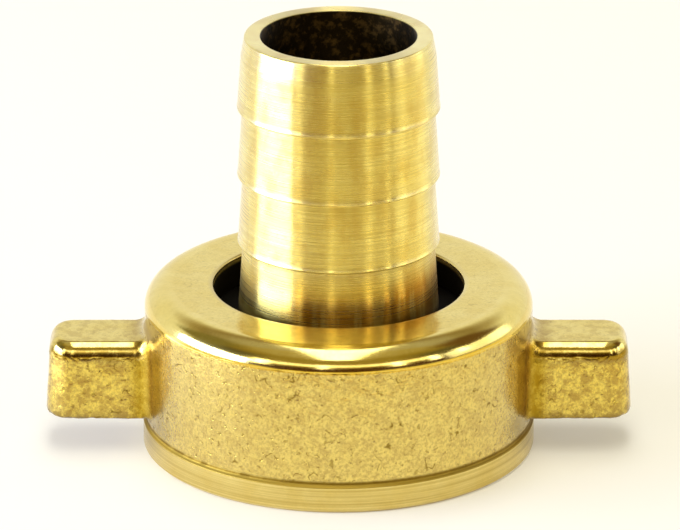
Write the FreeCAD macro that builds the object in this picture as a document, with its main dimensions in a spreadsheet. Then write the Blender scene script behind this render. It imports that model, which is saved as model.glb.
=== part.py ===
import FreeCAD, Part

"""Swivel hose connector: a winged union nut, a barbed hose tail that turns in it, and a flat sealing washer.

Millimetres, +Z up. The origin is the middle of the nut's open foot, on which the connector stands.
The nut's wings point along X. The tail's collar is held between the nut's lip and the washer,
and the washer lies on the upper end of the pipe thread.
"""

import math
import os

import Sketcher

# Driving dimensions: name, value in millimetres, degrees or pieces, and what it measures

DIMENSIONS = [
    ("thread_major", 33.249, "major diameter of the inside pipe thread, G1"),
    ("thread_minor", 30.291, "diameter over the crests of the inside thread"),
    ("thread_length", 8.4, "height of the threaded bore above the foot"),
    ("mouth_clearance", 0.35, "how far the mouth's chamfer opens past the thread's major radius"),
    ("relief_clearance", 0.2, "how far the relief above the thread opens past the major radius"),
    ("lip_thickness", 3.5, "thickness of the nut's top, which holds the collar"),
    ("seat_gap", 0.15, "running gap above and below the collar"),
    ("wall_diameter", 40.5, "forged wall of the nut"),
    ("band_height", 2.85, "height of the turned band round the foot"),
    ("band_step", 0.25, "how far the turned band stands out from the forged wall"),
    ("ledge_rise", 0.25, "height of the sloped ledge between band and wall"),
    ("foot_break", 0.3, "chamfer round the foot"),
    ("top_edge_radius", 2.5, "round between the nut's wall and its top"),
    ("hole_break", 0.25, "chamfer of the hole in the nut's top"),
    ("wing_span", 61.3, "tip to tip over both wings, at their foot"),
    ("wing_thickness", 9.05, "thickness of a wing at its foot"),
    ("wing_rise", 0.9, "from the top of the turned band to the underside of a wing"),
    ("wing_height", 8.3, "height of a wing, underside to top"),
    ("wing_draft", 3.5, "draft of the wings, in degrees, narrower upwards"),
    ("wing_corner_radius", 3.0, "round of the wing's tip, seen from above"),
    ("wing_edge_radius", 1.3, "round along the wing's upper edge"),
    ("root_radius", 0.8, "fillet where a wing meets the wall"),
    ("water_bore", 16.0, "bore through the hose tail"),
    ("collar_thickness", 2.8, "thickness of the tail's collar"),
    ("collar_clearance", 0.25, "radial clearance of the collar as it goes in through the thread"),
    ("neck_length", 8.4, "from the collar to the edge of the lowest barb"),
    ("neck_clearance", 2.57, "radial clearance between the tail and the hole in the nut's top"),
    ("barb_root_diameter", 19.9, "small end of each barb"),
    ("barb_diameter", 21.0, "sharp edge of each barb, and foot of the neck"),
    ("barb_pitch", 7.3, "from one barb's edge to the next"),
    ("barb_count", 3, "barbs above the neck"),
    ("nose_bevel", 0.4, "bevel at the outside of the tail's end"),
    ("nose_break", 0.2, "chamfer of the bore at the tail's end"),
    ("washer_thickness", 2.5, "thickness of the sealing washer"),
    ("washer_play", 0.8, "radial play of the washer in the relief"),
    ("washer_setback", 2.5, "how far the washer's hole stands back from the water bore"),
]

doc = FreeCAD.newDocument("hose_connector")
sheet = doc.addObject("Spreadsheet::Sheet", "dims")
for row, (alias, value, meaning) in enumerate(DIMENSIONS, start=1):
    sheet.set("A%d" % row, meaning)
    sheet.set("B%d" % row, str(value))
    sheet.setAlias("B%d" % row, alias)
doc.recompute()

# Places and sizes that follow from the driving dimensions, as expressions

THREAD_RADIUS = "dims.thread_minor / 2"
MOUTH_RADIUS = "(dims.thread_major / 2 + dims.mouth_clearance)"
RELIEF_RADIUS = "(dims.thread_major / 2 + dims.relief_clearance)"
WASHER_TOP = "(dims.thread_length + dims.washer_thickness)"
TAIL_FOOT = "(%s + dims.seat_gap)" % WASHER_TOP
SHOULDER = "(%s + dims.collar_thickness + dims.seat_gap)" % TAIL_FOOT
NUT_TOP = "(%s + dims.lip_thickness)" % SHOULDER
HOLE_RADIUS = "(dims.barb_diameter / 2 + dims.neck_clearance)"
WALL_FOOT = "(dims.band_height + dims.ledge_rise)"
WALL_TOP = "(%s - dims.top_edge_radius)" % NUT_TOP
WALL_RADIUS = "(dims.wall_diameter / 2)"
TOP_FLAT_RADIUS = "(dims.wall_diameter / 2 - dims.top_edge_radius)"
BAND_RADIUS = "(dims.wall_diameter / 2 + dims.band_step)"
WING_FOOT = "(dims.band_height + dims.wing_rise)"
WING_TOP = "(%s + dims.wing_height)" % WING_FOOT
WING_TIP = "(dims.wing_span / 2)"
WING_SIDE = "(dims.wing_thickness / 2)"
WING_FLAT = "(dims.wing_span / 2 - dims.wing_corner_radius)"
WING_END = "(dims.wing_thickness / 2 - dims.wing_corner_radius)"
COLLAR_RADIUS = "(dims.thread_minor / 2 - dims.collar_clearance)"
FIRST_BARB = "(dims.collar_thickness + dims.neck_length)"
NOSE_FOOT = "(%s + dims.barb_count * dims.barb_pitch)" % FIRST_BARB
TAIL_LENGTH = "(%s + dims.nose_bevel)" % NOSE_FOOT
BORE_RADIUS = "dims.water_bore / 2"
WASHER_RADIUS = "(%s - dims.washer_play)" % RELIEF_RADIUS
WASHER_HOLE_RADIUS = "(dims.water_bore / 2 + dims.washer_setback)"

# A point on a curve counts as lying at a wanted radius or height within this distance
NEAR = 1e-3


def measure(expression):
    """The number that an expression on the sheet stands for."""
    return float(doc.dims.evalExpression(expression.replace("dims.", "")))


def make_body(label):
    body = doc.addObject("PartDesign::Body", label)
    body.Label = label
    return body


def origin_plane(body, role):
    return next(plane for plane in body.Origin.OriginFeatures if plane.Role == role)


def make_sketch(body, name, role, height="0"):
    """An empty sketch on one of the body's own planes, raised to a height."""
    sketch = body.newObject("Sketcher::SketchObject", name)
    sketch.AttachmentSupport = [(origin_plane(body, role), "")]
    sketch.MapMode = "FlatFace"
    sketch.setExpression("AttachmentOffset.Base.z", height)
    return sketch


def tie(sketch, kind, piece, end, expression):
    """Ties a point's distance across or up from the sketch's origin to an expression."""
    index = sketch.addConstraint(Sketcher.Constraint(kind, -1, 1, piece, end, measure(expression)))
    sketch.setExpression("Constraints[%d]" % index, expression)


def draw_outline(sketch, corners):
    """A closed outline through corners given as pairs of expressions.

    A corner may name the centre of a round as well. A quarter turn to the left about that centre
    then leads to the next corner, and otherwise a straight line does.
    """
    places = [FreeCAD.Vector(measure(corner[0]), measure(corner[1]), 0) for corner in corners]
    for corner, start, end in zip(corners, places, places[1:] + places[:1]):
        if len(corner) == 2:
            sketch.addGeometry(Part.LineSegment(start, end), False)
            continue
        centre = FreeCAD.Vector(measure(corner[2]), measure(corner[3]), 0)
        circle = Part.Circle(centre, FreeCAD.Vector(0, 0, 1), (start - centre).Length)
        sketch.addGeometry(Part.ArcOfCircle(circle, circle.parameter(start), circle.parameter(end)), False)
    for piece, corner in enumerate(corners):
        before = (piece - 1) % len(corners)
        sketch.addConstraint(Sketcher.Constraint("Coincident", before, 2, piece, 1))
        tie(sketch, "DistanceX", piece, 1, corner[0])
        tie(sketch, "DistanceY", piece, 1, corner[1])
        if len(corner) == 4:
            tie(sketch, "DistanceY", piece, 3, corner[3])


def turn(body, kind, name, corners):
    """A solid of revolution about Z, added or cut, from an outline in the XZ plane."""
    sketch = make_sketch(body, name + "_outline", "XZ_Plane")
    draw_outline(sketch, corners)
    feature = body.newObject("PartDesign::" + kind, name)
    feature.Profile = sketch
    feature.ReferenceAxis = (sketch, ["V_Axis"])
    feature.Angle = 360
    doc.recompute()
    return feature


def edges_where(feature, wanted):
    """Names of the feature's edges that a test picks out."""
    return ["Edge%d" % number for number, edge in enumerate(feature.Shape.Edges, start=1) if wanted(edge)]


def fillet(body, name, wanted, radius):
    """Rounds the picked edges of what the body is so far."""
    base = body.Tip
    feature = body.newObject("PartDesign::Fillet", name)
    feature.Base = (base, edges_where(base, wanted))
    feature.setExpression("Radius", radius)
    body.Tip = feature
    doc.recompute()


def edge_points(edge):
    """Both ends and the middle of an edge."""
    start, end = edge.ParameterRange
    return [edge.valueAt(start), edge.valueAt((start + end) / 2), edge.valueAt(end)]


def lies_on_wall(point):
    return abs(math.hypot(point.x, point.y) - measure(WALL_RADIUS)) < NEAR


def on_wing_rim(edge):
    """True for the edges that run round the top of a wing, apart from its root."""
    points = edge_points(edge)
    return all(abs(point.z - measure(WING_TOP)) < NEAR for point in points) and not lies_on_wall(points[1])


def on_wing_root(edge):
    """True for the edges along which a wing meets the nut's wall, apart from its underside."""
    half_thickness = measure(WING_SIDE) + NEAR
    points = edge_points(edge)
    on_wall = all(lies_on_wall(point) and abs(point.y) <= half_thickness for point in points)
    return on_wall and measure(WING_FOOT) + NEAR < points[1].z < measure(WING_TOP) + NEAR


# Wing nut: a forged cup with two drafted wings, its foot and its inside turned

wing_nut = make_body("wing_nut")
turn(wing_nut, "Revolution", "forged_cup", [
    ("0", "0"),
    ("%s - dims.foot_break" % BAND_RADIUS, "0"),
    (BAND_RADIUS, "dims.foot_break"),
    (BAND_RADIUS, "dims.band_height"),
    (WALL_RADIUS, WALL_FOOT),
    (WALL_RADIUS, WALL_TOP, TOP_FLAT_RADIUS, WALL_TOP),
    (TOP_FLAT_RADIUS, NUT_TOP),
    ("0", NUT_TOP),
])

wing_outline = make_sketch(wing_nut, "wing_outline", "XY_Plane", WING_FOOT)
draw_outline(wing_outline, [
    ("-%s" % WING_FLAT, "-%s" % WING_SIDE),
    (WING_FLAT, "-%s" % WING_SIDE, WING_FLAT, "-%s" % WING_END),
    (WING_TIP, "-%s" % WING_END),
    (WING_TIP, WING_END, WING_FLAT, WING_END),
    (WING_FLAT, WING_SIDE),
    ("-%s" % WING_FLAT, WING_SIDE, "-%s" % WING_FLAT, WING_END),
    ("-%s" % WING_TIP, WING_END),
    ("-%s" % WING_TIP, "-%s" % WING_END, "-%s" % WING_FLAT, "-%s" % WING_END),
])
wings = wing_nut.newObject("PartDesign::Pad", "wings")
wings.Profile = wing_outline
wings.setExpression("Length", "dims.wing_height")
wings.setExpression("TaperAngle", "-dims.wing_draft")
doc.recompute()
fillet(wing_nut, "wing_upper_edges", on_wing_rim, "dims.wing_edge_radius")
fillet(wing_nut, "wing_roots", on_wing_root, "dims.root_radius")

solid_volume = wing_nut.Tip.Shape.Volume
turn(wing_nut, "Groove", "inside", [
    ("0", "0"),
    (MOUTH_RADIUS, "0"),
    (THREAD_RADIUS, "%s - %s" % (MOUTH_RADIUS, THREAD_RADIUS)),
    (THREAD_RADIUS, "dims.thread_length"),
    (RELIEF_RADIUS, "dims.thread_length"),
    (RELIEF_RADIUS, SHOULDER),
    (HOLE_RADIUS, SHOULDER),
    (HOLE_RADIUS, "%s - dims.hole_break" % NUT_TOP),
    ("%s + dims.hole_break" % HOLE_RADIUS, NUT_TOP),
    ("0", NUT_TOP),
])
if wing_nut.Tip.Shape.Volume >= solid_volume:
    raise RuntimeError("the inside of the nut was not cut")

# Hose tail: a turned tube with a collar at its foot, a tapered neck and a row of barbs

hose_tail = make_body("hose_tail")
hose_tail.setExpression("Placement.Base.z", TAIL_FOOT)
turn(hose_tail, "Revolution", "tube_and_collar", [
    (BORE_RADIUS, "0"),
    (COLLAR_RADIUS, "0"),
    (COLLAR_RADIUS, "dims.collar_thickness"),
    ("dims.barb_diameter / 2", "dims.collar_thickness"),
    ("dims.barb_root_diameter / 2", FIRST_BARB),
    ("dims.barb_root_diameter / 2", NOSE_FOOT),
    ("dims.barb_root_diameter / 2 - dims.nose_bevel", TAIL_LENGTH),
    ("%s + dims.nose_break" % BORE_RADIUS, TAIL_LENGTH),
    (BORE_RADIUS, "%s - dims.nose_break" % TAIL_LENGTH),
])
barb = turn(hose_tail, "Revolution", "barb", [
    ("(dims.water_bore + dims.barb_root_diameter) / 4", FIRST_BARB),
    ("dims.barb_diameter / 2", FIRST_BARB),
    ("dims.barb_root_diameter / 2", "%s + dims.barb_pitch" % FIRST_BARB),
    ("(dims.water_bore + dims.barb_root_diameter) / 4", "%s + dims.barb_pitch" % FIRST_BARB),
])
barb_row = hose_tail.newObject("PartDesign::LinearPattern", "barb_row")
barb_row.Originals = [barb]
barb_row.Direction = (doc.getObject("barb_outline"), ["V_Axis"])
barb_row.setExpression("Occurrences", "dims.barb_count")
barb_row.setExpression("Length", "(dims.barb_count - 1) * dims.barb_pitch")
hose_tail.Tip = barb_row
doc.recompute()

# Sealing washer: a flat rubber ring lying on the upper end of the thread

sealing_washer = make_body("sealing_washer")
sealing_washer.setExpression("Placement.Base.z", "dims.thread_length")
turn(sealing_washer, "Revolution", "flat_ring", [
    (WASHER_HOLE_RADIUS, "0"),
    (WASHER_RADIUS, "0"),
    (WASHER_RADIUS, "dims.washer_thickness"),
    (WASHER_HOLE_RADIUS, "dims.washer_thickness"),
])

# Check every object, then write each piece

doc.recompute()
for thing in doc.Objects:
    if "Invalid" in thing.State or "Error" in thing.State:
        raise RuntimeError("%s could not be built" % thing.Label)

os.makedirs("parts", exist_ok=True)
for piece in (wing_nut, hose_tail, sealing_washer):
    shape = piece.Shape
    if shape.isNull() or not shape.isValid() or len(shape.Solids) != 1:
        raise RuntimeError("%s is not one valid solid" % piece.Label)
    shape.exportStep("parts/%s.step" % piece.Label)
    print("%s: %.1f mm3" % (piece.Label, shape.Volume))
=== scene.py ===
import math

import bmesh
import bpy
import numpy as np
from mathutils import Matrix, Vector


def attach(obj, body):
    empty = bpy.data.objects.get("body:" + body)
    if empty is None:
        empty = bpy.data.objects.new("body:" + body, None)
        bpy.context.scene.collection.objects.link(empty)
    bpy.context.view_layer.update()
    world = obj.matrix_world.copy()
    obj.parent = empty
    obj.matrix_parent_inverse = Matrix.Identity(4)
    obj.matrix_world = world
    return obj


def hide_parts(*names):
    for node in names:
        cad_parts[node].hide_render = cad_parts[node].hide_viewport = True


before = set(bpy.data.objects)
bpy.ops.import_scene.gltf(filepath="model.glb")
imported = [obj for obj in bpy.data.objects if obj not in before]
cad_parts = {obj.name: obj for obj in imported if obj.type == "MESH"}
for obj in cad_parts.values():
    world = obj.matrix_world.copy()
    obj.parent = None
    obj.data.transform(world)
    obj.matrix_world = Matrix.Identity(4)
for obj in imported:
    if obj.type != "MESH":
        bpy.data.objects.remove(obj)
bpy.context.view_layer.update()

# Sizes are in millimetres, and MM turns them into the scene's metres

MM = 0.001
FULL_TURN = 2 * math.pi

# Sizes of the solids and of the pipe thread

WALL_RADIUS = 20.25
WALL_TOP = 15.0
TOP_EDGE_RADIUS = 2.5
NUT_TOP = 17.5
BAND_RADIUS = 20.5
BAND_TOP = 2.85
LEDGE_TOP = 3.10
FOOT_BREAK = 0.3
HOLE_RADIUS = 13.07
HOLE_BREAK = 0.25

WING_REACH = 30.65
WING_HALF = 4.525
WING_FOOT = 3.75
WING_TOP = 12.05
WING_DRAFT = math.radians(3.5)
WING_CORNER = 3.0

THREAD_PITCH = 2.309
THREAD_MAJOR = 16.6245
THREAD_MINOR = 15.1455
THREAD_TOP = 8.4
MOUTH_RADIUS = 16.9745
RELIEF_RADIUS = 16.8245
SHOULDER = 14.0

TAIL_FOOT = 11.05
COLLAR_TOP = 13.85
COLLAR_RADIUS = 14.8955
BORE_RADIUS = 8.0
BARB_ROOT = 9.95
BARB_EDGE = 10.5
FIRST_BARB = 22.25
BARB_PITCH = 7.3
BARB_COUNT = 3
TAIL_TOP = 44.55

WASHER_FOOT = 8.4
WASHER_TOP = 10.9
WASHER_RADIUS = 16.02
WASHER_HOLE = 10.5

# Rounds and small edges, as this script draws them

BAND_ROUND = 0.1
LEDGE_SOFT = 0.12
WING_EDGE_HEIGHT = 1.7
WING_EDGE_WIDTH = 1.0
WING_HEEL = 0.5
WING_ROOT = 1.3
SHOULDER_BREAK = 0.2
RELIEF_ROUND = 0.3
THREAD_ROUND = 0.16
BORE_BREAK = 0.3
COLLAR_ROUND = 0.25
NECK_FILLET = 0.4
STEP_RISE = 0.02
STEP_BREAK = 0.03
BARB_ROUND = 0.17
BARB_RUN_OUT = 1.7
BARB_RUN_OUT_RISE = 0.13
NOSE_INSET = 0.22
NOSE_ROUND = 0.16
NOSE_BREAK = 0.2
WASHER_ROUND = 0.3
PARTING_HALF = 0.1
PARTING_HEIGHT = 0.02

# Fineness of the meshes

SKIN_STEP = 0.3
ROUND_COLUMNS = 256
WASHER_COLUMNS = 160
FLOOR_COLUMNS = 96
THREAD_ROWS = 12
SHARP_ANGLE = math.radians(38)
JOIN_DISTANCE = 2e-6
SKIN_JOIN_DISTANCE = 4e-6

# Marks that the nut's points carry for its material, each from 0 to 1: forged, turned, and painted shade,
# which paints the hole below its lip and the relief near-black and darkens the thread a little

MARKS = ("forged", "turned", "stained")
FORGED = (1.0, 0.0, 0.0)
SMOOTH = (0.10, 0.0, 0.0)
WORN = (0.28, 0.0, 0.0)
TURNED = (0.0, 1.0, 0.0)
# Painted near-black shade: the nut's hole below its lip and its relief
IN_PAINTED_SHADE = (0.0, 1.0, 0.99)
# Turned, with a little painted shade in the thread
IN_THREAD = (0.0, 1.0, 0.12)

# How far below the nut's top the hole's edge keeps its brass colour, before the painted shade starts
BRIGHT_LIP = 0.3


# Node helpers


class Wire:
    """An output socket that takes part in sums. Each operator adds the Math node that works it out."""

    def __init__(self, graph, socket):
        self.graph = graph
        self.socket = socket

    def sum_node(self, operation, *values):
        return self.graph.node("ShaderNodeMath", {"operation": operation}, dict(enumerate(values)))

    def __add__(self, other):
        return self.sum_node("ADD", self, other)

    def __radd__(self, other):
        return self.sum_node("ADD", other, self)

    def __sub__(self, other):
        return self.sum_node("SUBTRACT", self, other)

    def __rsub__(self, other):
        return self.sum_node("SUBTRACT", other, self)

    def __mul__(self, other):
        return self.sum_node("MULTIPLY", self, other)

    def __rmul__(self, other):
        return self.sum_node("MULTIPLY", other, self)

    def __truediv__(self, other):
        return self.sum_node("DIVIDE", self, other)

    def __rtruediv__(self, other):
        return self.sum_node("DIVIDE", other, self)

    def __gt__(self, other):
        return self.sum_node("GREATER_THAN", self, other)

    def __lt__(self, other):
        return self.sum_node("LESS_THAN", self, other)

    def least(self, other):
        return self.sum_node("MINIMUM", self, other)

    def most(self, other):
        return self.sum_node("MAXIMUM", self, other)

    def bare(self, operation):
        """A Math operation on this value alone, such as SINE, FLOOR or SQRT."""
        return self.sum_node(operation, self)

    def unsigned(self):
        """The value without its sign."""
        return self.bare("ABSOLUTE")

    def ease(self, low, high, start=0.0, end=1.0):
        """Goes smoothly from start to end while this value goes from low to high."""
        places = {"Value": self, "From Min": low, "From Max": high, "To Min": start, "To Max": end}
        return self.graph.node("ShaderNodeMapRange", {"interpolation_type": "SMOOTHSTEP"}, places)

    def within(self, rise_start, rise_end, fall_start, fall_end):
        """1 while this value is between the rise and the fall, and 0 outside them."""
        return self.ease(rise_start, rise_end) * self.ease(fall_start, fall_end, 1.0, 0.0)

    def about(self, middle, inner, outer, gain=1.0):
        """The gain while this value is near a middle, falling to 0 from the inner to the outer distance."""
        return (self - middle).unsigned().ease(inner, outer, gain, 0.0)

    def output(self, name):
        """Another output of the same node."""
        return Wire(self.graph, self.socket.node.outputs[name])


class Graph:
    """A node tree that is filled through one method."""

    def __init__(self, tree):
        self.tree = tree

    def node(self, kind, settings=None, inputs=None, output=0):
        """Adds a node: its settings first, then the values or wires of its inputs."""
        node = self.tree.nodes.new(kind)
        for name, value in (settings or {}).items():
            if name == "stops":
                fill_ramp(node.color_ramp, value)
            else:
                setattr(node, name, value)
        for key, value in (inputs or {}).items():
            if isinstance(value, Wire):
                self.tree.links.new(value.socket, node.inputs[key])
            else:
                node.inputs[key].default_value = value
        if len(node.outputs) == 0:
            return None
        return Wire(self, node.outputs[output])

    def mix(self, factor, first, second):
        """A colour between two colours."""
        return self.node("ShaderNodeMix", {"data_type": "RGBA"}, {0: factor, 6: first, 7: second}, 2)

    def parts(self, vector):
        """The three numbers of a vector."""
        split = self.node("ShaderNodeSeparateXYZ", None, {0: vector})
        return split, split.output("Y"), split.output("Z")

    def vector(self, x, y, z):
        return self.node("ShaderNodeCombineXYZ", None, {0: x, 1: y, 2: z})

    def stretch(self, vector, factors):
        return self.node("ShaderNodeVectorMath", {"operation": "MULTIPLY"}, {0: vector, 1: factors})

    def noise(self, vector, scale, detail, rough):
        """Noise with the given number of cells per unit of the vector."""
        inputs = {"Vector": vector, "Scale": scale, "Detail": detail, "Roughness": rough}
        return self.node("ShaderNodeTexNoise", None, inputs)

    def mark(self, label):
        """A mark that the mesh's points carry."""
        return self.node("ShaderNodeAttribute", {"attribute_name": label}, output="Fac")

    def bump(self, height):
        """A normal that is tilted by a height in millimetres."""
        return self.node("ShaderNodeBump", None, {"Strength": 1.0, "Distance": MM, "Height": height})


def fill_ramp(ramp, stops):
    """Sets a colour ramp's stops, given as (place, colour) pairs."""
    while len(ramp.elements) < len(stops):
        ramp.elements.new(0.5)
    for element, (place, colour) in zip(ramp.elements, stops):
        element.position = place
        element.color = colour


def axis_distance(x, y):
    """Distance from the Z axis."""
    return (x * x + y * y).bare("SQRT")


def bearing_of(x, y):
    """Angle about Z in radians, from the camera's side and to the right."""
    return x.sum_node("ARCTAN2", x, y * -1.0)


# Materials

NUT_PALE = (0.84, 0.69, 0.235, 1)
NUT_DEEP = (0.79, 0.62, 0.175, 1)
WALL_BRASS = (0.74, 0.555, 0.09, 1)
WING_BRASS = (0.80, 0.60, 0.075, 1)
GRAIN_BROWN = (0.43, 0.30, 0.04, 1)
PATCH_BROWN = (0.37, 0.22, 0.013, 1)
# Painted reflection of the wings in the wall beside their roots
WING_REFLECTION_BROWN = (0.35, 0.205, 0.008, 1)
# Darker blotches along the wings' foot and just under their top edge
EDGE_DARK = (0.27, 0.17, 0.012, 1)
# Painted shade in the crease over the band
CREASE_SHADE = (0.16, 0.09, 0.006, 1)
NUT_GROOVE = (0.46, 0.32, 0.045, 1)
FLAW_BROWN = (0.21, 0.13, 0.010, 1)
# Painted near-black shade, in the nut's hole and relief and on the tail under the nut's lip
SHADE_BLACK = (0.005, 0.003, 0.001, 1)

TAIL_PALE = (0.92, 0.785, 0.23, 1)
TAIL_DEEP = (0.88, 0.72, 0.17, 1)
TAIL_GROOVE = (0.60, 0.445, 0.055, 1)
TAIL_WARM = (0.64, 0.425, 0.035, 1)
# Painted shade and dark reflection on the tail's neck above the nut
NECK_SHADE_BROWN = (0.34, 0.135, 0.003, 1)
# The bore's near-black mottle, dark and pale
BORE_DARK = (0.016, 0.010, 0.003, 1)
BORE_PALE = (0.085, 0.048, 0.012, 1)

RUBBER = (0.022, 0.022, 0.023, 1)
RUBBER_DUST = (0.06, 0.058, 0.054, 1)

LACQUER = {"Coat Roughness": 0.3, "Coat IOR": 1.8}


def start_material(name):
    """A material with an empty tree: the graph, and its coordinates on the object in millimetres."""
    material = bpy.data.materials.new(name)
    material.use_nodes = True
    material.node_tree.nodes.clear()
    graph = Graph(material.node_tree)
    place = graph.node("ShaderNodeTexCoord", output="Object")
    return material, graph, graph.stretch(place, (1 / MM, 1 / MM, 1 / MM))


def end_material(graph, sockets):
    """Ends the tree in one Principled surface."""
    surface = graph.node("ShaderNodeBsdfPrincipled", None, sockets)
    graph.node("ShaderNodeOutputMaterial", None, {"Surface": surface})


def turning_rings(graph, place, spacing):
    """Fine rings that a lathe tool leaves round Z: a height between 0 and 1."""
    fine = graph.noise(graph.stretch(place, (0.006, 0.006, 1.0)), 1 / spacing, 2.0, 0.6)
    broad = graph.noise(graph.stretch(place, (0.004, 0.004, 1.0)), 0.25 / spacing, 2.0, 0.5)
    return fine * 0.6 + broad * 0.4


def brass_tones(graph, place, pale, deep, size):
    """Brass that wanders between two tones over patches of the given size."""
    patches = graph.noise(place, 1 / size, 4.0, 0.6)
    return graph.mix(patches.ease(0.35, 0.65), pale, deep)


def make_forged_brass():
    """The nut: grainy as forged on its walls, bright at its edges, turned at its foot and inside. Painted
    shade darkens its hole, its relief and the crease over its band, and a painted reflection of the wings
    darkens the wall beside their roots.
    """
    material, graph, place = start_material("forged_brass")
    cast, turned, shade = (graph.mark(label) for label in MARKS)

    # Places on the nut: its wings, the dull wall at their roots, which gets a painted reflection of the
    # wings, their edges, and the crease over the band, which gets painted shade
    x, y, z = graph.parts(place)
    radius = axis_distance(x, y)
    on_wing = radius.ease(WALL_RADIUS + 0.1, WALL_RADIUS + 0.9)
    near_wall = radius.ease(WALL_RADIUS + 0.9, WALL_RADIUS + 2.6, 1.0, 0.0)
    aside = y.unsigned() - WING_HALF
    beside_wing = aside.ease(3.2, 4.6, 1.0, 0.0) * (x.unsigned() > 12.0)
    raised = z - aside.most(0.0) * 0.6
    above_foot = raised.ease(WING_FOOT - 0.4, WING_FOOT + 0.5)
    below_top = z.ease(WING_TOP - 0.2, WING_TOP + 0.8, 1.0, 0.0)
    in_corner = near_wall * beside_wing * above_foot * below_top
    low_edge = on_wing * z.ease(WING_FOOT, WING_FOOT + 1.6, 1.0, 0.0)
    high_edge = on_wing * z.within(WING_TOP - 2.7, WING_TOP - 1.5, WING_TOP - 1.0, WING_TOP - 0.6)
    over_band = z.ease(LEDGE_TOP + 0.05, LEDGE_TOP + 0.42, 1.0, 0.0) * (z > BAND_TOP - 0.13)
    crease = over_band * (1.0 - on_wing)

    # Textures: fine grain, shallow swells, pits, hair-thin veins, blotches and the lathe's rings
    grain = graph.noise(place, 3.2, 3.0, 0.65)
    swell = graph.noise(place, 0.8, 2.0, 0.5)
    pits = graph.noise(place, 1.9, 2.0, 0.5).ease(0.62, 0.70)
    vein_spots = graph.noise(place, 0.42, 1.0, 0.5).ease(0.52, 0.62)
    vein_breaks = graph.noise(place, 1.3, 1.0, 0.5).ease(0.44, 0.56)
    veins = graph.noise(place, 0.50, 1.5, 0.55).about(0.5, 0.004, 0.022) * vein_spots * vein_breaks
    blotches = graph.noise(place, 0.85, 4.0, 0.75)
    rings = turning_rings(graph, place, 0.20)

    # Colours, each laid over the one before
    forged_share = cast.ease(0.4, 0.9)
    worn = (cast * 0.4).most(on_wing * cast.ease(0.2, 0.9, 0.4, 0.9))
    # Darker blotches along the wings' foot and just under their top edge
    edge_darkening = (low_edge * 0.9).most(high_edge * 0.8) * blotches.ease(0.32, 0.50)
    # Painted reflection of each wing in the wall beside its root, a little darker at the right
    painted_wing_reflection = in_corner * blotches.ease(0.3, 0.6, 0.55, 0.8) * x.ease(-5.0, 5.0, 0.8, 1.0)
    flaws = (pits * 0.55 + veins * 0.85).least(0.85) * cast
    colour = brass_tones(graph, place, NUT_PALE, NUT_DEEP, 4.0)
    for share, tone in (
        (cast * 0.85, WALL_BRASS),
        (on_wing * forged_share * 0.85, WING_BRASS),
        (grain.ease(0.40, 0.64, 0.0, 0.64) * cast, GRAIN_BROWN),
        (blotches.ease(0.43, 0.61, 0.0, 0.85) * worn, PATCH_BROWN),
        # Painted reflection of the wings beside their roots
        (painted_wing_reflection.least(0.92), WING_REFLECTION_BROWN),
        # Darker blotches along the wings' foot and under their top edge
        (edge_darkening, EDGE_DARK),
        # Painted shade in the crease over the band
        (crease * 0.92, CREASE_SHADE),
        (rings.ease(0.38, 0.60, 0.15, 0.75) * turned, NUT_GROOVE),
        (flaws, FLAW_BROWN),
        # Painted near-black shade in the hole below its lip and the relief, and faint in the thread
        (shade, SHADE_BLACK),
    ):
        colour = graph.mix(share, colour, tone)

    roughness = 0.13 + cast * 0.05 + grain.ease(0.3, 0.7) * cast * 0.08 + turned * 0.12
    roughness = roughness + shade * 0.7 + crease * 0.3 + painted_wing_reflection * 0.12
    lacquer = (forged_share * (0.8 - on_wing * 0.25)).most(turned * 0.4)
    lacquer = lacquer * (1.0 - shade.most(in_corner).most(crease)) * (1.0 - flaws)
    height = (grain * 0.022 + swell * 0.035 - pits * 0.015) * cast * (1.0 - in_corner * 0.6)
    height = height + rings * turned * 0.014
    end_material(graph, {
        "Base Color": colour,
        "Metallic": 1.0,
        "Roughness": roughness,
        "Coat Weight": lacquer,
        **LACQUER,
        "Normal": graph.bump(height),
    })
    return material


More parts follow.
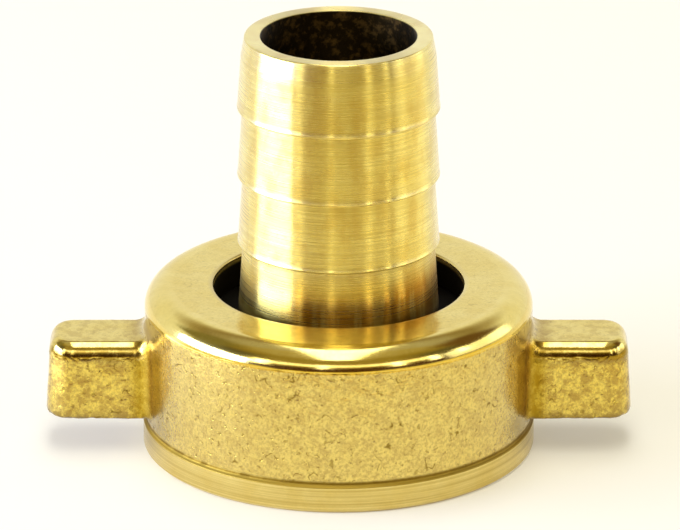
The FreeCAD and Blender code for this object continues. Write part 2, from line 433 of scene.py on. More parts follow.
def make_turned_brass():
    """The hose tail: turned brass with fine rings, painted black shade under the nut's lip, painted shade
    and dark reflection climbing its neck, and near-black in its bore.
    """
    material, graph, place = start_material("turned_brass")

    # Places on the tail: the bore, the neck under the nut's lip, which gets painted black shade, and the
    # painted shade and dark reflection that climb from there, fainter at the left
    x, y, z = graph.parts(place)
    in_bore = axis_distance(x, y).ease(BORE_RADIUS + 0.02, BORE_RADIUS + 0.16, 1.0, 0.0)
    below_lip = z.ease(COLLAR_TOP + 0.6, COLLAR_TOP + 3.2, 0.99, 0.0)
    below_lip = below_lip * z.ease(COLLAR_TOP - 0.6, COLLAR_TOP - 0.3)
    streaks = graph.noise(graph.stretch(place, (1.0, 1.0, 0.12)), 0.9, 3.0, 0.6)
    # Painted shade and dark reflection on the neck above the nut, in upright streaks, higher at the right
    # and fainter at the left
    sunk = z + 0.3 - x.ease(2.0, 8.0, 0.0, 1.8)
    neck_shade = sunk.ease(COLLAR_TOP + 3.4, FIRST_BARB - 0.6, 0.9, 0.0) * streaks.ease(0.35, 0.6, 0.65, 1.0)
    neck_shade = neck_shade * x.ease(-8.0, -3.5, 0.15, 1.0)
    # Painted black shade under the nut's lip, and the bore's near-black mottle
    dark_recesses = in_bore.most(below_lip)

    # Colours, each laid over the one before
    rings = turning_rings(graph, place, 0.12)
    patches = graph.noise(graph.stretch(place, (1.0, 1.0, 0.45)), 0.55, 3.0, 0.6)
    scale = graph.noise(place, 1.1, 4.0, 0.7)
    bore_mottle = graph.mix(scale.ease(0.46, 0.66), BORE_DARK, BORE_PALE)
    flattened = graph.stretch(place, (1.0, 1.0, 2.5))
    colour = brass_tones(graph, flattened, TAIL_PALE, TAIL_DEEP, 5.0)
    for share, tone in (
        (rings.ease(0.40, 0.62, 0.0, 0.5), TAIL_GROOVE),
        (patches.ease(0.42, 0.66, 0.0, 0.48), TAIL_WARM),
        # Painted shade and dark reflection on the neck
        (neck_shade, NECK_SHADE_BROWN),
        # Painted black shade under the lip; near-black mottle in the bore
        (dark_recesses, graph.mix(in_bore, SHADE_BLACK, bore_mottle)),
    ):
        colour = graph.mix(share, colour, tone)

    end_material(graph, {
        "Base Color": colour,
        "Metallic": 1.0,
        "Roughness": 0.24 + rings.ease(0.3, 0.7) * 0.08 + dark_recesses * 0.42,
        "Anisotropic": 1.0,
        "Anisotropic Rotation": 0.25,
        "Coat Weight": 1.0 - dark_recesses.most(neck_shade * 1.2).least(1.0),
        **LACQUER,
        "Normal": graph.bump(rings * 0.004 + scale * in_bore * 0.14),
    })
    return material


def make_washer_rubber():
    """The sealing washer: dull dark rubber with a fine moulded skin."""
    material, graph, place = start_material("washer_rubber")
    grain = graph.noise(place, 6.0, 3.0, 0.6)
    dust = graph.noise(place, 0.8, 3.0, 0.6)
    colour = graph.mix(dust.ease(0.4, 0.75, 0.0, 0.5), RUBBER, RUBBER_DUST)
    end_material(graph, {
        "Base Color": colour, "Roughness": 0.62 + dust * 0.2, "Normal": graph.bump(grain * 0.02),
    })
    return material


# Mesh helpers


def new_piece(name, mesh, material):
    """An object at the origin with one material and smooth faces, sharp where they meet at an angle."""
    mesh.name = name
    mesh.materials.clear()
    mesh.materials.append(material)
    mesh.shade_smooth()
    mesh.set_sharp_from_angle(angle=SHARP_ANGLE)
    piece = bpy.data.objects.new(name, mesh)
    bpy.context.scene.collection.objects.link(piece)
    return piece


def tree_with_sizes(name, sizes):
    """A geometry tree with a Geometry input and output, and named number inputs."""
    tree = bpy.data.node_groups.new(name, "GeometryNodeTree")
    tree.interface.new_socket("Geometry", in_out="INPUT", socket_type="NodeSocketGeometry")
    tree.interface.new_socket("Geometry", in_out="OUTPUT", socket_type="NodeSocketGeometry")
    for label, value in sizes.items():
        kind = "NodeSocketInt" if isinstance(value, int) else "NodeSocketFloat"
        tree.interface.new_socket(label, in_out="INPUT", socket_type=kind)
    graph = Graph(tree)
    given = graph.node("NodeGroupInput")
    return tree, graph, given


def unit_grid(graph, columns, rows):
    """A grid of points, and how far each point is across it and up it, from -0.5 to 0.5."""
    grid = graph.node("GeometryNodeMeshGrid", None, {
        "Size X": 1.0, "Size Y": 1.0, "Vertices X": columns, "Vertices Y": rows,
    })
    across, up, _ = graph.parts(graph.node("GeometryNodeInputPosition"))
    return grid, across, up


def about_axis(graph, radius, angle, height):
    """The place that has the given radius, angle and height about Z."""
    return graph.vector(radius * angle.bare("COSINE"), radius * angle.bare("SINE"), height)


def move_points(graph, geometry, place):
    return graph.node("GeometryNodeSetPosition", None, {"Geometry": geometry, "Position": place})


def join_ends(graph, geometry):
    """Closes the seam of a grid that was bent round."""
    inputs = {"Geometry": geometry, "Distance": JOIN_DISTANCE}
    return graph.node("GeometryNodeMergeByDistance", None, inputs)


def end_tree(graph, geometry, material):
    """Ends a geometry tree in plain faces with their material."""
    plain = graph.node("GeometryNodeRealizeInstances", None, {0: geometry})
    finished = graph.node("GeometryNodeSetMaterial", None, {"Geometry": plain, "Material": material})
    graph.node("NodeGroupOutput", None, {0: finished})


def grow(start, tree, sizes):
    """The plain mesh that a geometry tree makes from a starting mesh, with its named sizes set."""
    helper = bpy.data.objects.new("grown", start)
    bpy.context.scene.collection.objects.link(helper)
    modifier = helper.modifiers.new("shape", "NODES")
    modifier.node_group = tree
    for item in tree.interface.items_tree:
        if item.in_out == "INPUT" and item.name in sizes:
            modifier[item.identifier] = sizes[item.name]
    depsgraph = bpy.context.evaluated_depsgraph_get()
    mesh = bpy.data.meshes.new_from_object(helper.evaluated_get(depsgraph))
    helper.modifiers.clear()
    bpy.data.objects.remove(helper)
    return mesh


def mark_points(mesh, marks):
    """Stores a row of marks for each point of a mesh."""
    for column, label in enumerate(MARKS):
        layer = mesh.attributes.new(label, "FLOAT", "POINT")
        layer.data.foreach_set("value", marks[:, column].copy())


def ring_angles(columns):
    return np.arange(columns) * (FULL_TURN / columns)


def zip_rows(left, right, left_marks, right_marks):
    """Triangles between two rows of points, matched by marks that rise along each row."""
    faces = []
    i = k = 0
    while i < len(left) - 1 or k < len(right) - 1:
        left_done = i == len(left) - 1
        right_done = k == len(right) - 1
        step_left = right_done or (
            not left_done and left_marks[i] + left_marks[i + 1] <= right_marks[k] + right_marks[k + 1]
        )
        if step_left:
            faces.append((left[i], right[k], left[i + 1]))
            i += 1
        else:
            faces.append((left[i], right[k], right[k + 1]))
            k += 1
    return faces


class Shell:
    """Collects rings and rows of points about Z, in millimetres, and the faces between them."""

    def __init__(self):
        self.points = []
        self.marks = []
        self.faces = []

    def add(self, points, marks):
        """Adds points with their (forged, turned, painted shade) marks and gives their numbers."""
        first = len(self.points)
        self.points.extend(points)
        self.marks.extend([marks] * len(points))
        return list(range(first, len(self.points)))

    def ring(self, angles, radius, height, marks):
        points = [(radius * math.cos(a), radius * math.sin(a), height) for a in angles]
        return self.add(points, marks)

    def band(self, lower, upper):
        """Quads between two rings with as many points each."""
        count = len(lower)
        for j in range(count):
            k = (j + 1) % count
            self.faces.append((lower[j], lower[k], upper[k], upper[j]))

    def seam(self, lower, upper, lower_angles, upper_angles):
        """Triangles between two rings whose points don't match."""
        lower_marks = list(lower_angles) + [lower_angles[0] + FULL_TURN]
        upper_marks = list(upper_angles) + [upper_angles[0] + FULL_TURN]
        for a, b, c in zip_rows(lower + lower[:1], upper + upper[:1], lower_marks, upper_marks):
            self.faces.append((a, c, b))

    def mesh(self, name):
        mesh = bpy.data.meshes.new(name)
        mesh.from_pydata((np.array(self.points) * MM).tolist(), [], self.faces)
        mark_points(mesh, np.array(self.marks, np.float32))
        return mesh


def arc(centre, radius, start, end, count):
    """Points on an arc in the plane of a profile, angles in degrees."""
    steps = [math.radians(start + (end - start) * k / count) for k in range(count + 1)]
    return [(centre[0] + radius * math.cos(a), centre[1] + radius * math.sin(a)) for a in steps]


def between(start, end, count):
    """Points that divide a straight run, without its start."""
    return [
        (start[0] + (end[0] - start[0]) * k / count, start[1] + (end[1] - start[1]) * k / count)
        for k in range(1, count + 1)
    ]


# The nut's outer skin: a wall with two drafted wings that run into it through a fillet

# Samples and steps that find the skin, and rays that are long enough to end outside it
OUTLINE_SAMPLES = 12001
PROFILE_SAMPLES = 900
HALVINGS = 34
OUTSIDE_NUT = 40
OUTSIDE_WING = 25

# From this radius and height inside the wall, each ray outwards meets the skin once
PROFILE_EYE = (17.0, 7.9)


def round_meet(first, second, radius):
    """The part common to two shapes, given by their distances, with the edge between them rounded."""
    beyond = np.hypot(np.maximum(radius + first, 0), np.maximum(radius + second, 0))
    return np.minimum(-radius, np.maximum(first, second)) + beyond


def skin_distance(x, y, z):
    """Below zero inside the wall and the wings, above zero outside, and zero on their skin."""
    wall = np.hypot(x, y) - WALL_RADIUS
    drawn_in = (z - WING_FOOT) * math.tan(WING_DRAFT)
    along = np.abs(x) - (WING_REACH - WING_CORNER)
    across = np.abs(y) - (WING_HALF - WING_CORNER)
    beyond = np.hypot(np.maximum(along, 0), np.maximum(across, 0))
    side = beyond + np.minimum(np.maximum(along, across), 0) - (WING_CORNER - drawn_in)
    above = z - WING_TOP
    squeezed = np.minimum(
        above * WING_EDGE_WIDTH / WING_EDGE_HEIGHT, above + WING_EDGE_HEIGHT - WING_EDGE_WIDTH
    )
    topped = round_meet(side, np.where(above > 0, above, squeezed), WING_EDGE_WIDTH)
    wing = round_meet(topped, WING_FOOT - z, WING_HEEL)
    above_foot = np.clip((z - WING_FOOT) / WING_HEEL, 0, 1)
    root = WING_ROOT * above_foot * above_foot * (3 - 2 * above_foot)
    filled = np.hypot(np.maximum(root - wall, 0), np.maximum(root - wing, 0))
    return np.maximum(root, np.minimum(wall, wing)) - filled


def reach_along(start, direction, furthest):
    """How far each ray goes from inside the skin before it meets the skin."""
    near = np.zeros(direction[0].shape)
    far = near + furthest
    for _ in range(HALVINGS):
        middle = (near + far) / 2
        inside = skin_distance(*(s + middle * d for s, d in zip(start, direction))) < 0
        near = np.where(inside, middle, near)
        far = np.where(inside, far, middle)
    return (near + far) / 2


def run_length(across, along):
    """The length of a run of points up to each point."""
    return np.concatenate([[0], np.cumsum(np.hypot(np.diff(across), np.diff(along)))])


def skin_columns():
    """Angles about Z, spaced evenly along the outline of wall and wings seen from above."""
    angles = np.linspace(0, FULL_TURN, OUTLINE_SAMPLES)
    directions = (np.cos(angles), np.sin(angles), np.zeros(angles.shape))
    reach = reach_along((0, 0, (WING_FOOT + WING_TOP) / 2), directions, OUTSIDE_NUT)
    length = run_length(reach * directions[0], reach * directions[1])
    count = int(round(length[-1] / SKIN_STEP))
    return np.interp(np.arange(count) * length[-1] / count, length, angles)


def wing_profiles(angles):
    """Each column's radii and heights from under the wings to the wall's top, with marks from 0 to 1."""
    eye_radius, eye_height = PROFILE_EYE
    lowest = math.atan2(WING_FOOT - eye_height, WALL_RADIUS - eye_radius)
    highest = math.atan2(WALL_TOP - eye_height, WALL_RADIUS - eye_radius)
    slope = np.linspace(lowest, highest, PROFILE_SAMPLES)[:, None]
    out, up = np.cos(slope), np.sin(slope)
    across, along = np.cos(angles), np.sin(angles)
    start = (eye_radius * across, eye_radius * along, eye_height)
    reach = reach_along(start, (out * across, out * along, up + 0 * across), OUTSIDE_WING)
    radius = eye_radius + reach * out
    height = eye_height + reach * up
    profiles = []
    for j in range(len(angles)):
        length = run_length(radius[:, j], height[:, j])
        marks = np.linspace(0, 1, int(round(length[-1] / SKIN_STEP)) + 1)
        places = marks * length[-1]
        radii = np.interp(places, length, radius[:, j])
        heights = np.interp(places, length, height[:, j])
        column = np.column_stack([radii, heights])
        column[0] = WALL_RADIUS, WING_FOOT
        column[-1] = WALL_RADIUS, WALL_TOP
        profiles.append((marks, column))
    return profiles


def skin_mark(radius, height):
    """Forged, but rubbed smooth over the wings' upper edges and tops."""
    if radius > WALL_RADIUS + 0.5 and height > WING_TOP - WING_EDGE_HEIGHT:
        return WORN if height > WING_TOP - 0.15 else SMOOTH
    return FORGED


# The outer skin's columns end at these radii, and a seam joins them to the even columns inside
FOOT_SEAM = 18.6
TOP_SEAM = HOLE_RADIUS + HOLE_BREAK + 0.35


def build_skin():
    """The nut without its thread: forged outside, turned foot, round edge, hole, lip and relief."""
    shell = Shell()
    angles = skin_columns()
    even = ring_angles(ROUND_COLUMNS)

    # Foot and turned band
    foot = [(FOOT_SEAM, 0.0), (BAND_RADIUS - FOOT_BREAK, 0.0), (BAND_RADIUS, FOOT_BREAK)]
    foot += between((BAND_RADIUS, FOOT_BREAK), (BAND_RADIUS, BAND_TOP - BAND_ROUND), 6)
    foot += arc((BAND_RADIUS - BAND_ROUND, BAND_TOP - BAND_ROUND), BAND_ROUND, 0, 60, 3)[1:]
    foot += [(WALL_RADIUS + LEDGE_SOFT / 2, LEDGE_TOP - LEDGE_SOFT)]
    mouth_ring = shell.ring(even, MOUTH_RADIUS, 0.0, TURNED)
    rings = [shell.ring(angles, r, z, TURNED) for r, z in foot]
    shell.seam(mouth_ring, rings[0], even, angles)
    for lower, upper in zip(rings, rings[1:]):
        shell.band(lower, upper)
    ledge = shell.ring(angles, WALL_RADIUS, LEDGE_TOP, FORGED)
    shell.band(rings[-1], ledge)

    # Round the wings and up to the top of the wall
    middle = shell.ring(angles, WALL_RADIUS, (LEDGE_TOP + WING_FOOT) / 2, FORGED)
    shell.band(ledge, middle)
    columns = []
    for angle, (marks, column) in zip(angles, wing_profiles(angles)):
        numbers = [shell.ring([angle], r, z, skin_mark(r, z))[0] for r, z in column]
        columns.append((numbers, marks))
    shell.band(middle, [numbers[0] for numbers, _ in columns])
    for (left, left_marks), (right, right_marks) in zip(columns, columns[1:] + columns[:1]):
        shell.faces += zip_rows(left, right, left_marks, right_marks)

    # Round edge and top
    flat_radius = WALL_RADIUS - TOP_EDGE_RADIUS
    crown = arc((flat_radius, WALL_TOP), TOP_EDGE_RADIUS, 0, 90, 16)[1:]
    crown += between(crown[-1], (TOP_SEAM, NUT_TOP), 12)
    below = [numbers[-1] for numbers, _ in columns]
    for r, z in crown:
        ring = shell.ring(angles, r, z, WORN if r < flat_radius - 0.5 else SMOOTH)
        shell.band(below, ring)
        below = ring

    # Hole, lip and relief down to the thread
    inside = [(HOLE_RADIUS + HOLE_BREAK, NUT_TOP)]
    inside += arc((HOLE_RADIUS + HOLE_BREAK, NUT_TOP - HOLE_BREAK), HOLE_BREAK, 110, 180, 4)
    inside += between(inside[-1], (HOLE_RADIUS, SHOULDER + SHOULDER_BREAK), 6)
    inside += [(HOLE_RADIUS + SHOULDER_BREAK, SHOULDER)]
    inside += between(inside[-1], (RELIEF_RADIUS - RELIEF_ROUND, SHOULDER), 6)
    inside += arc((RELIEF_RADIUS - RELIEF_ROUND, SHOULDER - RELIEF_ROUND), RELIEF_ROUND, 90, 0, 3)[1:]
    inside += between(inside[-1], (RELIEF_RADIUS, THREAD_TOP), 8)
    upper = shell.ring(even, *inside[0], TURNED)
    shell.seam(below, upper, angles, even)
    for r, z in inside[1:]:
        # Below the lip the hole, shoulder and relief get painted near-black shade
        lower = shell.ring(even, r, z, TURNED if z > NUT_TOP - BRIGHT_LIP else IN_PAINTED_SHADE)
        shell.band(upper, lower)
        upper = lower
    return shell.mesh("outer_skin")


# Pipe thread: a rounded form that climbs round the bore by one pitch a turn

# Height of the sharp 55 degree form, in pitches
SHARP_FORM = 0.9605

# Only the grid's last row lies past this share of the climb
LAST_ROW = 0.9999


def build_thread(material):
    """The threaded bore from the nut's mouth to the ledge above it, facing inwards."""
    sizes = {
        "Columns": ROUND_COLUMNS,
        "Rows a turn": THREAD_ROWS,
        "Pitch": THREAD_PITCH,
        "Major radius": THREAD_MAJOR,
        "Minor radius": THREAD_MINOR,
        "Mouth radius": MOUTH_RADIUS,
        "Relief radius": RELIEF_RADIUS,
        "Height": THREAD_TOP,
    }
    tree, graph, given = tree_with_sizes("pipe_thread", sizes)
    pitch = given.output("Pitch")
    major = given.output("Major radius")
    minor = given.output("Minor radius")
    height = given.output("Height")
    turns = (height / pitch).bare("CEIL") + 1.0
    rows = turns * given.output("Rows a turn")
    grid, across, up = unit_grid(graph, given.output("Columns") + 1.0, rows + 1.0)
    share = across + 0.5
    climb = up + 0.5
    level = (pitch * (turns * climb + share - 1.0)).most(0.0).least(height)
    phase = level / pitch - share
    wave = phase.sum_node("PINGPONG", phase, 0.5) * 2.0
    sharp = (major + minor) * 0.5 + (wave - 0.5) * pitch * SHARP_FORM
    rounded = sharp.sum_node("SMOOTH_MAX", sharp, minor, THREAD_ROUND)
    form = rounded.sum_node("SMOOTH_MIN", rounded, major, THREAD_ROUND)
    opened = form.most(given.output("Mouth radius") - level)
    on_ledge = climb > LAST_ROW
    radius = opened + (given.output("Relief radius") - opened) * on_ledge
    place = graph.stretch(about_axis(graph, radius, share * FULL_TURN, level), (MM, MM, MM))
    bent = move_points(graph, grid, place)
    turned_in = graph.node("GeometryNodeFlipFaces", None, {"Mesh": bent})
    end_tree(graph, join_ends(graph, turned_in), material)
    mesh = grow(bpy.data.meshes.new("thread_start"), tree, sizes)
    # The thread is turned, with a little painted shade
    mark_points(mesh, np.tile(np.array(IN_THREAD, np.float32), (len(mesh.vertices), 1)))
    return mesh


def relief_of_forging(mesh, material):
    """Lays the swells and grain of forging into the skin, inwards only, where it is marked as forged."""
    sizes = {
        "Swell depth": 0.05,
        "Grain depth": 0.010,
        "Flash depth": 0.07,
        "Swell size": 2.4,
        "Grain size": 0.55,
        "Flash size": 0.8,
    }
    tree, graph, given = tree_with_sizes("forged_skin", sizes)
    place = graph.stretch(graph.node("GeometryNodeInputPosition"), (1 / MM, 1 / MM, 1 / MM))
    mark = graph.node("GeometryNodeInputNamedAttribute", {"data_type": "FLOAT"}, {"Name": "forged"})
    swell, grain, flash = (
        graph.noise(place, 1.0 / given.output(label), 2.0, 0.5)
        for label in ("Swell size", "Grain size", "Flash size")
    )
    x, y, z = graph.parts(place)
    outside_root = axis_distance(x, y).ease(WALL_RADIUS + 0.8, WALL_RADIUS + 1.6)
    heel = z.ease(WING_FOOT + 0.2, WING_FOOT + 0.9, 1.0, 0.0) * outside_root
    depth = swell.ease(0.25, 0.75) * given.output("Swell depth")
    depth = depth + grain.ease(0.3, 0.7) * given.output("Grain depth")
    depth = depth + flash.ease(0.45, 0.65) * heel * given.output("Flash depth")
    normal = graph.node("GeometryNodeInputNormal")
    push = graph.node("ShaderNodeVectorMath", {"operation": "SCALE"}, {
        0: normal, "Scale": depth * mark * -MM,
    })
    moved = graph.node("GeometryNodeSetPosition", None, {"Geometry": given, "Offset": push})
    end_tree(graph, moved, material)
    return grow(mesh, tree, sizes)


def make_wing_nut():
    """The wing nut as one closed skin: its outside, hole and relief, joined to its threaded bore."""
    material = make_forged_brass()
    skin = bmesh.new()
    skin.from_mesh(build_skin())
    skin.from_mesh(build_thread(material))
    bmesh.ops.remove_doubles(skin, verts=skin.verts, dist=SKIN_JOIN_DISTANCE)
    mesh = bpy.data.meshes.new("nut_skin")
    skin.to_mesh(mesh)
    skin.free()
    return new_piece("union_nut", relief_of_forging(mesh, material), material)


# Hose tail: one profile with one barb, repeated up the tube and turned about Z


def tail_profile():
    """Radii and heights of a tail with one barb: up to the barb, the barb, and over the end and down."""
    rim = COLLAR_RADIUS - COLLAR_ROUND
    first = [(BORE_RADIUS, TAIL_FOOT + BORE_BREAK), (BORE_RADIUS + BORE_BREAK, TAIL_FOOT)]
    first += between(first[-1], (rim, TAIL_FOOT), 4)
    first += arc((rim, TAIL_FOOT + COLLAR_ROUND), COLLAR_ROUND, -90, 0, 3)[1:]
    first += between(first[-1], (COLLAR_RADIUS, COLLAR_TOP - COLLAR_ROUND), 3)
    first += arc((rim, COLLAR_TOP - COLLAR_ROUND), COLLAR_ROUND, 0, 90, 3)[1:]
    first += between(first[-1], (BARB_EDGE + NECK_FILLET, COLLAR_TOP), 4)
    first += arc((BARB_EDGE + NECK_FILLET, COLLAR_TOP + NECK_FILLET), NECK_FILLET, 270, 180, 4)[1:]
    first += between(first[-1], (BARB_ROOT + STEP_RISE, FIRST_BARB - STEP_BREAK), 12)

    barb = [(BARB_ROOT + STEP_BREAK, FIRST_BARB), (BARB_EDGE - BARB_ROUND, FIRST_BARB)]
    barb += arc((BARB_EDGE - BARB_ROUND, FIRST_BARB + BARB_ROUND), BARB_ROUND, -90, 42, 6)[1:]
    barb += between(barb[-1], (BARB_ROOT + BARB_RUN_OUT_RISE, FIRST_BARB + BARB_PITCH - BARB_RUN_OUT), 11)

    lowered = BARB_PITCH * (BARB_COUNT - 1)
    top = TAIL_TOP - lowered
    nose = BARB_ROOT - NOSE_INSET
    last = between(barb[-1], (nose, top - NOSE_ROUND), 4)
    last += arc((nose - NOSE_ROUND, top - NOSE_ROUND), NOSE_ROUND, 10, 90, 4)[1:]
    last += between(last[-1], (BORE_RADIUS + NOSE_BREAK, top), 3)
    last += arc((BORE_RADIUS + NOSE_BREAK, top - NOSE_BREAK), NOSE_BREAK, 90, 180, 4)[1:]
    last += between(last[-1], (BORE_RADIUS, TAIL_FOOT + BORE_BREAK - lowered), 24)
    return first, barb, last


def make_hose_tail():
    """The profile turned about Z. Its barb repeats, and what follows is raised by as many pitches."""
    material = make_turned_brass()
    first, barb, last = tail_profile()
    points = first + barb + last
    start = bpy.data.meshes.new("tail_profile")
    start.from_pydata([(r * MM, 0.0, z * MM) for r, z in points], [], [])
    sizes = {
        "Columns": ROUND_COLUMNS,
        "Points": len(points),
        "Barb start": len(first),
        "Barb points": len(barb),
        "Barb count": BARB_COUNT,
        "Barb pitch": BARB_PITCH * MM,
    }
    tree, graph, given = tree_with_sizes("barbed_tube", sizes)
    barb_points = given.output("Barb points")
    extra = given.output("Barb count") - 1.0
    rows = given.output("Points") + barb_points * extra
    grid, across, up = unit_grid(graph, given.output("Columns") + 1.0, rows)
    row = ((up + 0.5) * (rows - 1.0)).bare("ROUND")
    # The thousandth keeps a whole number of barbs from falling just short of itself
    barbs_passed = (row - given.output("Barb start")) / barb_points + 0.001
    barbs_passed = barbs_passed.bare("FLOOR").most(0.0).least(extra)
    profile_place = graph.node("GeometryNodeInputPosition")
    sampled = graph.node("GeometryNodeSampleIndex", {"data_type": "FLOAT_VECTOR"}, {
        "Geometry": given, "Value": profile_place, "Index": row - barbs_passed * barb_points,
    })
    radius, _, height = graph.parts(sampled)
    raised = height + barbs_passed * given.output("Barb pitch")
    bent = move_points(graph, grid, about_axis(graph, radius, (across + 0.5) * FULL_TURN, raised))
    end_tree(graph, join_ends(graph, bent), material)
    return new_piece("barbed_tail", grow(start, tree, sizes), material)


# Sealing washer: a moulded flat ring with soft edges and a faint parting line


def make_washer():
    material = make_washer_rubber()
    hole = WASHER_HOLE + WASHER_ROUND
    rim = WASHER_RADIUS - WASHER_ROUND
    low = WASHER_FOOT + WASHER_ROUND
    high = WASHER_TOP - WASHER_ROUND
    middle = (WASHER_FOOT + WASHER_TOP) / 2
    below_line = WASHER_RADIUS - PARTING_HEIGHT
    profile = arc((hole, low), WASHER_ROUND, 180, 270, 4)
    profile += between(profile[-1], (rim, WASHER_FOOT), 8)
    profile += arc((rim, low), WASHER_ROUND, -90, 0, 4)[1:]
    profile += [(below_line, middle - PARTING_HALF), (WASHER_RADIUS, middle)]
    profile += [(below_line, middle + PARTING_HALF)]
    profile += arc((rim, high), WASHER_ROUND, 0, 90, 4)
    profile += between(profile[-1], (hole, WASHER_TOP), 8)
    profile += arc((hole, high), WASHER_ROUND, 90, 180, 4)[1:]
    shell = Shell()
    angles = ring_angles(WASHER_COLUMNS)
    rings = [shell.ring(angles, r, z, TURNED) for r, z in profile]
    for lower, upper in zip(rings, rings[1:] + rings[:1]):
        shell.band(lower, upper)
    return new_piece("rubber_washer", shell.mesh("washer"), material)


# Studio: pale floor, white surroundings, soft lamps and the camera

FLOOR_RADIUS = 0.45
FLOOR_HEIGHT = -2e-5
PAPER = (0.78, 0.765, 0.68, 1)
PAPER_GLOW = (1.0, 1.0, 0.97, 1)
CARD_LIGHT = (0.86, 0.98, 1.55, 1)
CARD_STRENGTH = 4.5
SHOWN_TO_ALL = 0.05
SHOWN_TO_CAMERA = 0.13
SHOWN_TO_METAL = 0.15

ROOM_DARK = (0.085, 0.030, 0.003, 1)
ROOM_WALL = (0.36, 0.27, 0.06, 1)
ROOM_CEILING = (0.50, 0.42, 0.20, 1)
ROOM_SIDES = (0.07, 0.07, 0.04, 1)
FLOOR_NEAR_ROOM = (1.15, 0.90, 0.25, 1)
FLOOR_ASIDE = (0.76, 0.66, 0.35, 1)
SHELF_LIGHT = (1.9, 1.75, 1.4, 1)
STRIP_LIGHT = (9.0, 8.8, 8.2, 1)
BACK_WHITE = (1.0, 1.0, 0.96, 1)
BACK_PALE = (0.50, 0.43, 0.28, 1)
BACK_BROWN = (0.30, 0.23, 0.11, 1)
BACK_TOP = (0.50, 0.47, 0.38, 1)
LEFT_FLANK = (0.24, 0.21, 0.08, 1)
RIGHT_FLANK = (0.16, 0.09, 0.03, 1)
WHITE = (1.0, 1.0, 1.0, 1)

CAMERA_PLACE = (0.00014, -0.5733, 0.23645)
CAMERA_DOWN = 20.74
CAMERA_LENS = 311.8
CAMERA_SENSOR = 36.0

# Bright upright strips in front: bearing, half width and share of the strips' light
STRIPS = (
    (-0.83, 0.12, 0.7),
    (-0.15, 0.08, 0.35),
    (0.62, 0.08, 0.5),
    (1.02, 0.07, 0.6),
    (1.38, 0.10, 0.35),
)


def make_floor():
    """A pale paper, white from above, that lets a camera below it look through.

    In the metal it shows the dim room in front of it, and a bright card at its left.
    """
    mesh = bpy.data.meshes.new("floor")
    rim = [
        (FLOOR_RADIUS * math.cos(a), FLOOR_RADIUS * math.sin(a), FLOOR_HEIGHT)
        for a in ring_angles(FLOOR_COLUMNS)
    ]
    mesh.from_pydata(rim, [], [tuple(range(FLOOR_COLUMNS))])
    floor = bpy.data.objects.new("floor", mesh)
    bpy.context.scene.collection.objects.link(floor)
    material, graph, place = start_material("pale_floor")
    camera_ray = graph.node("ShaderNodeLightPath", output="Is Camera Ray")
    glossy_ray = camera_ray.output("Is Glossy Ray")
    seen = camera_ray.most(glossy_ray).most(camera_ray.output("Is Transmission Ray"))

    x, y, _ = graph.parts(place)
    bearing = bearing_of(x, y)
    away = axis_distance(x, y)
    before_room = away.ease(58.0, 84.0) * bearing.about(0.0, 1.5, 2.3) * glossy_ray
    sideways = (bearing + 0.12).unsigned().ease(0.38, 0.72)
    dim = graph.mix(sideways, ROOM_DARK, FLOOR_ASIDE)
    shade = graph.mix(away.ease(106.0, 190.0), FLOOR_NEAR_ROOM, dim)
    card = bearing.about(-1.40, 0.36, 0.50) * away.within(52.0, 76.0, 230.0, 260.0)

    paper = graph.node("ShaderNodeBsdfDiffuse", None, {"Color": PAPER})
    tone = graph.mix(card * glossy_ray, PAPER_GLOW, CARD_LIGHT)
    strength = seen * SHOWN_TO_ALL + camera_ray * SHOWN_TO_CAMERA
    strength = strength + glossy_ray * (card * CARD_STRENGTH + SHOWN_TO_METAL)
    glow = graph.node("ShaderNodeEmission", None, {"Color": tone, "Strength": strength})
    lit = graph.node("ShaderNodeAddShader", None, {0: paper, 1: glow})
    room = graph.node("ShaderNodeEmission", None, {"Color": shade, "Strength": 1.0})
    above = graph.node("ShaderNodeMixShader", None, {0: before_room, 1: lit, 2: room})
    backface = graph.node("ShaderNodeNewGeometry", output="Backfacing")
    clear = graph.node("ShaderNodeBsdfTransparent")
    whole = graph.node("ShaderNodeMixShader", None, {0: backface * camera_ray, 1: above, 2: clear})
    graph.node("ShaderNodeOutputMaterial", None, {"Surface": whole})
    mesh.materials.append(material)


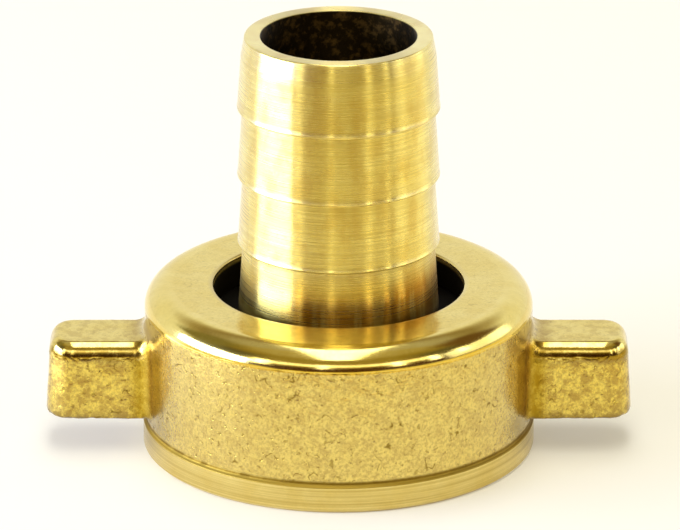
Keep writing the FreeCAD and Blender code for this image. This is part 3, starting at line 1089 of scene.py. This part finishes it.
def make_surroundings():
    """White round the object, with the dim side of the room behind the camera.

    Its bands go by z, which is the sine of the elevation.
    """
    world = bpy.data.worlds.new("studio")
    bpy.context.scene.world = world
    world.use_nodes = True
    world.node_tree.nodes.clear()
    graph = Graph(world.node_tree)
    direction = graph.node("ShaderNodeTexCoord", output="Generated")
    x, y, z = graph.parts(direction)
    bearing = bearing_of(x, y)

    # In front: a dark room with a paler wall, dim sides, a bright shelf and the strips
    front = graph.node("ShaderNodeValToRGB", {"stops": [
        (0.0, ROOM_DARK), (0.20, ROOM_DARK), (0.26, ROOM_WALL), (0.78, ROOM_WALL), (0.88, ROOM_CEILING),
    ]}, {"Fac": z})
    sides = bearing.unsigned().ease(0.7, 1.1, 0.0, 0.8) * z.within(0.20, 0.26, 0.60, 0.80)
    shelf = z.within(0.30, 0.35, 0.46, 0.51) * bearing.about(0.05, 0.80, 1.1)
    strips = 0.0
    for middle, half_width, gain in STRIPS:
        strips = bearing.about(middle, half_width * 0.3, half_width, gain) + strips
    strips = (strips * z.within(0.12, 0.22, 0.42, 0.52)).least(1.0)
    for share, tone in ((sides, ROOM_SIDES), (shelf, SHELF_LIGHT), (strips, STRIP_LIGHT)):
        front = graph.mix(share, front, tone)

    # Behind: white low down, darker above, with a dark flank at each side
    back = graph.node("ShaderNodeValToRGB", {"stops": [
        (0.0, BACK_WHITE), (0.50, BACK_WHITE), (0.64, BACK_PALE), (0.72, BACK_BROWN), (0.88, BACK_TOP),
    ]}, {"Fac": z})
    facing = (y / axis_distance(x, y).most(0.0001)).ease(0.05, 0.35, 1.0, 0.0)
    flank = bearing.unsigned().about(1.80, 0.20, 0.46) * z.within(0.40, 0.50, 0.76, 0.90)
    flank_tone = graph.mix(x.ease(-0.1, 0.1), LEFT_FLANK, RIGHT_FLANK)
    room = graph.mix(flank, graph.mix(facing, back, front), flank_tone)

    camera_ray = graph.node("ShaderNodeLightPath", output="Is Camera Ray")
    light = graph.node("ShaderNodeBackground", None, {
        "Color": graph.mix(camera_ray, room, WHITE), "Strength": 1.0,
    })
    graph.node("ShaderNodeOutputWorld", None, {"Surface": light})


def add_softbox(name, place, target, size, brightness, colour):
    """A rectangular soft lamp, aimed at a target, whose face has the given brightness."""
    width, depth = size
    lamp = bpy.data.lights.new(name, "AREA")
    lamp.shape = "RECTANGLE"
    lamp.size = width
    lamp.size_y = depth
    lamp.energy = brightness * math.pi * width * depth
    lamp.color = colour
    softbox = bpy.data.objects.new(name, lamp)
    bpy.context.scene.collection.objects.link(softbox)
    away = Vector(place) - Vector(target)
    softbox.location = place
    softbox.rotation_euler = away.to_track_quat("Z", "Y").to_euler()


def make_camera():
    """The photo's camera: a long lens that looks down at the connector."""
    lens = bpy.data.cameras.new("camera")
    lens.lens = CAMERA_LENS
    lens.sensor_width = CAMERA_SENSOR
    camera = bpy.data.objects.new("camera", lens)
    camera.location = CAMERA_PLACE
    camera.rotation_euler = (math.radians(90 - CAMERA_DOWN), 0.0, 0.0)
    bpy.context.scene.collection.objects.link(camera)
    bpy.context.scene.camera = camera


make_camera()
make_floor()
make_surroundings()
add_softbox(
    "overhead_lamp", place=(0.0, -0.085, 0.62), target=(0.0, -0.085, 0.0), size=(0.22, 0.79),
    brightness=3.65, colour=(1.0, 1.0, 1.0),
)
add_softbox(
    "left_lamp", place=(-0.64, -0.12, 0.13), target=(0.0, 0.0, 0.02), size=(0.60, 0.25),
    brightness=12.5, colour=(0.87, 1.0, 1.58),
)
add_softbox(
    "right_lamp", place=(0.62, 0.02, 0.15), target=(0.0, 0.0, 0.02), size=(0.60, 0.28),
    brightness=1.45, colour=(1.0, 1.0, 1.05),
)

nut = make_wing_nut()
tail = make_hose_tail()
washer = make_washer()

for piece, body, node, slot in (
    (nut, "nut", "wing_nut", "forged_brass"),
    (tail, "tail", "hose_tail", "turned_brass"),
    (washer, "nut", "sealing_washer", "washer_rubber"),
):
    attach(piece, body)
    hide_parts(node)

bpy.context.scene.view_settings.view_transform = "Standard"
